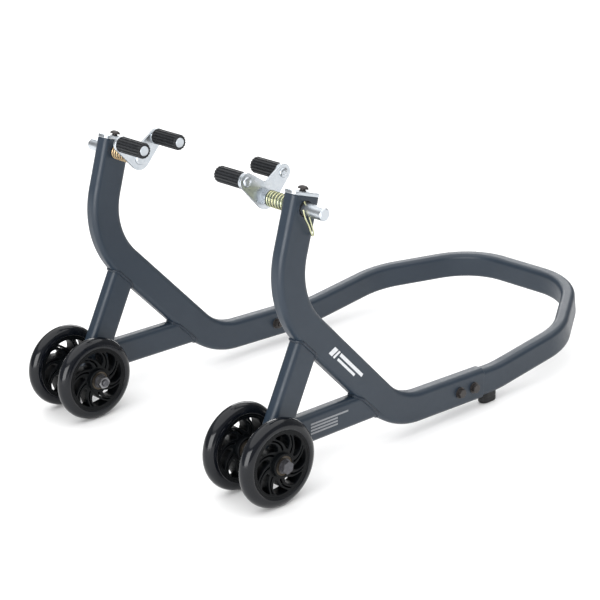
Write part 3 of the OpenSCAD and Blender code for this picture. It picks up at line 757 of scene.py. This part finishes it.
def cross_tool(angle):
    """Tapered blade that cuts one slot of a cross recess."""
    bm = bmesh.new()
    bmesh.ops.create_cube(bm, size=1)
    for q in bm.verts:
        deep = q.co.z < 0
        q.co = Vector((q.co.x * SLOT_LEN * (0.45 if deep else 1), q.co.y * SLOT_W * (0.7 if deep else 1),
                       q.co.z * SLOT_DEEP))
    bm.transform(Matrix.Rotation(math.radians(angle), 4, "Z"))
    me = bpy.data.meshes.new("tool")
    bm.to_mesh(me)
    bm.free()
    ob = bpy.data.objects.new("tool", me)
    bpy.context.scene.collection.objects.link(ob)
    return ob


for side, s in SIDES:
    v, f = lay_down(outline_mesh([rounded(0.0391, 0.0198, 0.0068, 8)], CAP_HALF, 0.0008, 3))
    new_obj(f"cap_{s}", up_place([q + Vector((0, 0, CAP_HALF)) for q in v], side), f, ZINC_BR, "frame",
            [f"top_cap_{s}"])
    v, f = lay_down(lathe_mesh([
        (0, -0.0061), (0.0029, -0.0061), (0.0029, 0.0038), (0.0037, 0.0041), (0.0038, 0.0047), (0.0029, 0.0051),
        (0.0029, 0.0058), (0.0040, 0.0062), (0.0058, 0.0063), (0.0060, 0.0067), (0.0059, 0.0072),
        (0.0053, 0.0083), (0.0040, 0.0093), (0.0024, 0.0100), (0, 0.0102)], 48))
    me = bpy.data.meshes.new("blank")
    me.from_pydata([tuple(q) for q in up_place(v, side)], [], f)
    blank = bpy.data.objects.new("blank", me)
    bpy.context.scene.collection.objects.link(blank)
    tools = [cross_tool(25), cross_tool(115)]
    for tool in tools:
        tool.matrix_world = Matrix.Translation(TOP + Vector((0, side * SIDE, 0)) + UP * SLOT_AT) @ UPRIGHT
        md = blank.modifiers.new("slot", "BOOLEAN")
        md.operation = "DIFFERENCE"
        md.object = tool
    dg = bpy.context.evaluated_depsgraph_get()
    dg.update()
    done = bpy.data.meshes.new_from_object(blank.evaluated_get(dg))
    done.name = f"cross_screw_{s}"
    for ob in (blank, *tools):
        bpy.data.objects.remove(ob)
    finish_obj(f"cross_screw_{s}", done, BLACKZ, f"lock_screw_{s}_body", [f"lock_screw_{s}"])

# ---------------------------------------------------------------- cradles
PLATE_IN, PLATE_OUT = 0.1094, 0.1124
SPREAD, RISE = 0.0252, 0.022
SHAFT_R, PIN_R = 0.0070, 0.0058
COLLAR_AF, COLLAR_T, WASHER_THRUST = 0.016, 0.006, 0.0015
ROLLER_R, ROLLER_TIP, ROLLER_LEN = 0.0092, 0.0664, 0.0410
RIBS, PER_RIB, GROOVE = 16, 10, 0.0012
COIL_TURNS, COIL_STEPS, WIRE_R, COIL_R, DEAD_TURN, DEAD_RISE = 8, 40, 0.00085, 0.00815, 0.8, 0.0017
CLIP_R, CLIP_OFF = 0.0009, 0.0019
CLIP_LEAN, CLIP_TWIST = math.radians(18), math.radians(32)
CLIP_LINE = [(0, 10), (0, 4), (0, -6), (0, -16), (0, -25), (-0.9, -28.5), (-3.6, -30.0), (-6.3, -28.5),
             (-7.2, -25), (-7.3, -20), (-8.2, -14), (-10.0, -9), (-10.8, -4), (-10.4, 1), (-9.4, 5.5)]


def plate_outline():
    """V plate: two rounded arms that meet in a lobe round the shaft."""
    lobe, neck, fillet = 0.0095, 0.0136, 0.0045
    pts = []

    def arc(c, r, a0, a1, n=18):
        for k in range(n + 1):
            a = math.radians(a0 + (a1 - a0) * k / n)
            pts.append((c[0] + r * math.cos(a), c[1] + r * math.sin(a)))

    arm = math.degrees(math.atan2(RISE, SPREAD))
    lean = 90 - math.degrees(math.asin((neck - lobe) / math.hypot(SPREAD, RISE)))
    arc((0, 0), neck, 180 - arm + lean, 360 + arm - lean)
    arc((SPREAD, RISE), lobe, arm - lean, arm + lean)
    arc((0, (neck + fillet) / math.sin(math.radians(arm + lean))), fillet, 180 + arm + lean, 360 - arm - lean, 8)
    arc((-SPREAD, RISE), lobe, 180 - arm - lean, 180 - arm + lean)
    return pts


def rib_depth(k):
    """How far point k of the rubber's rim lies below the ribs, as a share of the groove."""
    wave = 0.5 - 0.5 * math.cos(2 * math.pi * (k % PER_RIB) / PER_RIB)
    return 1 - min(1, wave * 1.9)


def rubber_sleeve():
    """Grooves along the length, fading out over both rounded ends: (radius, y, share of the groove)."""
    n = RIBS * PER_RIB
    rings = [(PIN_R, 0, 0.0), (0.0080, 0, 0.3), (0.0087, 0.0005, 0.6), (ROLLER_R, 0.0018, 1.0),
             (ROLLER_R, 0.0404, 1.0), (0.0088, ROLLER_LEN, 0.6), (PIN_R, ROLLER_LEN, 0.0)]
    verts, faces = [], []
    for r, y, share in rings:
        for k in range(n):
            a = 2 * math.pi * k / n
            rr = r - GROOVE * rib_depth(k) * share
            verts.append((rr * math.cos(a), ROLLER_TIP + 0.0002 + y, rr * math.sin(a)))
    for j in range(len(rings) - 1):
        for k in range(n):
            q = (k + 1) % n
            faces.append((j * n + k, j * n + q, (j + 1) * n + q, (j + 1) * n + k))
    return verts, faces


def coil_rise(turn, span):
    """Height of the wire after so many turns: nearly flat in the closed turn at each end."""
    if turn < DEAD_TURN:
        return DEAD_RISE * turn / DEAD_TURN
    if turn > COIL_TURNS - DEAD_TURN:
        return span - DEAD_RISE * (COIL_TURNS - turn) / DEAD_TURN
    return DEAD_RISE + (span - 2 * DEAD_RISE) * (turn - DEAD_TURN) / (COIL_TURNS - 2 * DEAD_TURN)


for side, s in SIDES:
    body = f"cradle_{s}"
    at = Vector((SHAFT[0], 0, SHAFT[1]))
    mid = Vector((0, side * (PLATE_IN + PLATE_OUT) / 2, 0))
    v, f = outline_mesh([plate_outline(), circle(SHAFT_R, 48)], (PLATE_OUT - PLATE_IN) / 2, 0.00045, 3)
    new_obj(f"v_plate_{s}", place(v, at + mid), f, ZINC_BR, body, [f"cradle_plate_{s}"])
    v, f = lathe_mesh([
        (0, PLATE_IN - 0.002), (0.0058, PLATE_IN - 0.002), (SHAFT_R, PLATE_IN - 0.0008),
        (SHAFT_R, SHAFT_END - 0.0014), (0.0068, SHAFT_END - 0.0010), (0.0058, SHAFT_END), (0, SHAFT_END)], 64)
    new_obj(f"shaft_{s}", place(v, at, side), f, ZINC, body, [f"cradle_shaft_{s}"])
    v, f = hex_head(COLLAR_AF, COLLAR_T, hole=SHAFT_R)
    new_obj(f"hex_collar_{s}", place(v, at + Vector((0, side * PLATE_OUT, 0)), side), f, ZINC_BR, body,
            [f"cradle_collar_{s}"])

    pin_v, pin_f = lathe_mesh([
        (0, ROLLER_TIP + 0.0003), (0.0046, ROLLER_TIP + 0.0001), (0.0054, ROLLER_TIP),
        (PIN_R, ROLLER_TIP + 0.0004), (PIN_R, 0.1078), (0.0093, 0.1078), (0.0095, 0.1080), (0.0095, 0.1092),
        (0.0093, PLATE_IN), (0.0040, PLATE_IN), (0.0040, PLATE_OUT), (0.0056, PLATE_OUT),
        (0.0056, PLATE_OUT + 0.0004), (0.0050, PLATE_OUT + 0.0013), (0.0036, PLATE_OUT + 0.0019),
        (0.0026, PLATE_OUT + 0.0020), (0.0018, PLATE_OUT + 0.0013), (0, PLATE_OUT + 0.0012)], 48)
    sleeve_v, sleeve_f = rubber_sleeve()
    centres = [at + Vector((e * SPREAD, 0, RISE)) for e in (1, -1)]
    v, f = join([(place(pin_v, c, side), pin_f) for c in centres])
    new_obj(f"roller_rods_{s}", v, f, ZINC_BR, body, [f"roller_pins_{s}"])
    v, f = join([(place(sleeve_v, c, side), sleeve_f) for c in centres])
    new_obj(f"ribbed_rollers_{s}", v, f, RUBBER, body, [f"roller_sleeves_{s}"])

    # the spring, from the thrust washer behind the collar to the inner face of the upright
    y0 = PLATE_OUT + COLLAR_T + 0.0003 + WASHER_THRUST + 0.00005
    y1 = SIDE - FACE - 0.00005
    pts = []
    for k in range(COIL_TURNS * COIL_STEPS + 1):
        turn = k / COIL_STEPS
        a = 2 * math.pi * turn
        y = y0 + WIRE_R + coil_rise(turn, y1 - y0 - 2 * WIRE_R)
        pts.append(at + Vector((COIL_R * math.cos(a), side * y, COIL_R * math.sin(a))))
    v, f = wire(pts, WIRE_R, 12)
    coil = new_obj(f"coil_{s}", v, f, GOLD if side < 0 else COPPER, f"spring_seat_{s}", [f"spring_{s}"],
                   weighted=False)
    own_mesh(coil)
    cad(f"thrust_washer_{s}", ZINC)

    # hitch clip: a straight leg through the shaft, an eye at the bottom, a bowed leg back up
    line = []
    for x, z in CLIP_LINE:
        p = Matrix.Rotation(-side * CLIP_TWIST, 4, "Z") @ Vector((x * MM, 0, 0)) + Vector((0, 0, z * MM))
        line.append(at + Vector((0, side * (SIDE + FACE + CLIP_OFF), 0))
                    + Matrix.Rotation(-CLIP_LEAN, 4, "Y") @ p)
    v, f = wire(smooth_line(line, 8), CLIP_R, 12)
    new_obj(f"wire_clip_{s}", v, f, GOLD, body, [f"shaft_clip_{s}"], weighted=False)

# ---------------------------------------------------------------- plain decals, with no lettering
DIAG = (LOWER - UPPER).normalized()
DECAL_T = 0.00012


def upward(d):
    return Vector((-d.z, 0, d.x))


def decal(name, quads, side, origin, along, y, material):
    """Thin bars on a tube's outer face: corners in mm along the tube and up from origin."""
    parts = []
    for quad in quads:
        verts = []
        for dy in (0.0, DECAL_T):
            for a, b in quad:
                q = origin + along * (a * MM) + upward(along) * (b * MM)
                verts.append(Vector((q.x, side * (y + dy), q.z)))
        n = len(quad)
        faces = [tuple(range(n)), tuple(range(n, 2 * n))]
        faces += [(k, (k + 1) % n, n + (k + 1) % n, n + k) for k in range(n)]
        parts.append((verts, faces))
    v, f = join(parts)
    new_obj(name, v, f, material, "frame", smooth=False)


def bar(x0, x1, z0, z1, slant=0.0):
    return [(x0 + slant, z0), (x1 + slant, z0), (x1 - slant, z1), (x0 - slant, z1)]


STRIPES = [bar(-31, -24.5, -5.2, 5.2, -1.6), bar(-22.5, -19.5, -5.2, 5.2, -1.6), bar(-16, 31, 1.0, 5.0),
           bar(-16, 20, -4.4, -1.4)]
ROWS = [bar(-44, 12 if i == 0 else -4, 4.6 - 3.7 * i, 6.7 - 3.7 * i) for i in range(4)]
for side, s in SIDES:
    decal(f"stripe_mark_{s}", STRIPES, side, UPPER + DIAG * 0.1235, DIAG, SIDE + MAIN[1] / 2, MARK)
    decal(f"plain_rows_{s}", ROWS, side, BR_FRONT + BR_DIR * 0.094, BR_DIR, SIDE + STRUT[1] / 2, MARK_GREY)

# ---------------------------------------------------------------- floor, light, camera
bm = bmesh.new()
bmesh.ops.create_grid(bm, x_segments=1, y_segments=1, size=8)
me = bpy.data.meshes.new("floor")
bm.to_mesh(me)
bm.free()
floor = bpy.data.objects.new("floor", me)
bpy.context.scene.collection.objects.link(floor)
fm = bpy.data.materials.new("floor_white")
fm.use_nodes = True
fb = fm.node_tree.nodes["Principled BSDF"]
fb.inputs["Base Color"].default_value = (0.93, 0.93, 0.93, 1)
fb.inputs["Roughness"].default_value = 0.9
fb.inputs["Specular IOR Level"].default_value = 0.1
me.materials.append(fm)
floor.location = (0, 0, -0.0003)

world = bpy.data.worlds.new("studio")
bpy.context.scene.world = world
world.use_nodes = True
world.node_tree.nodes["Background"].inputs["Color"].default_value = (1, 1, 1, 1)
world.node_tree.nodes["Background"].inputs["Strength"].default_value = 0.35


def area(name, loc, target, size, power, size_y):
    li = bpy.data.lights.new(name, "AREA")
    li.energy = power
    li.shape = "RECTANGLE"
    li.size = size
    li.size_y = size_y
    ob = bpy.data.objects.new(name, li)
    bpy.context.scene.collection.objects.link(ob)
    ob.location = loc
    ob.rotation_mode = "QUATERNION"
    ob.rotation_quaternion = (Vector(target) - Vector(loc)).to_track_quat("-Z", "Y")


sun = bpy.data.lights.new("sky_light", "SUN")
sun.energy = 3.0
sun.angle = math.radians(100)
bpy.context.scene.collection.objects.link(bpy.data.objects.new("sky_light", sun))
area("front_soft", (-3.0, -1.2, 0.9), (0, 0, 0.15), 2.5, 84, 1.7)
area("rim_soft", (2.5, 2.6, 1.6), (0, 0, 0.1), 2.4, 42, 1.3)

# the view of the photograph: a square picture of 600, its centre and focal length in the same unit
PICTURE, FOCAL, CENTRE_X, CENTRE_Y = 600, 1719.1, 365.54, 289.05
CAM_RIGHT = Vector((0.72094828, -0.69287881, -0.01235043))
CAM_UP = Vector((0.24257503, 0.23562745, 0.94108292))
CAM_BACK = Vector((-0.64914631, -0.68146801, 0.3379503))
cam_data = bpy.data.cameras.new("cam")
cam_data.sensor_width = 36
cam_data.lens = FOCAL / PICTURE * cam_data.sensor_width
cam_data.shift_x = (PICTURE / 2 - CENTRE_X) / PICTURE
cam_data.shift_y = (CENTRE_Y - PICTURE / 2) / PICTURE
cam_data.clip_start, cam_data.clip_end = 0.05, 50
cam = bpy.data.objects.new("cam", cam_data)
bpy.context.scene.collection.objects.link(cam)
turned = Matrix((CAM_RIGHT, CAM_UP, CAM_BACK)).transposed().to_4x4()
cam.matrix_world = Matrix.Translation((AX - 1.06744, -1.45495, 0.83543)) @ turned
bpy.context.scene.camera = cam
bpy.context.scene.view_settings.view_transform = "Standard"
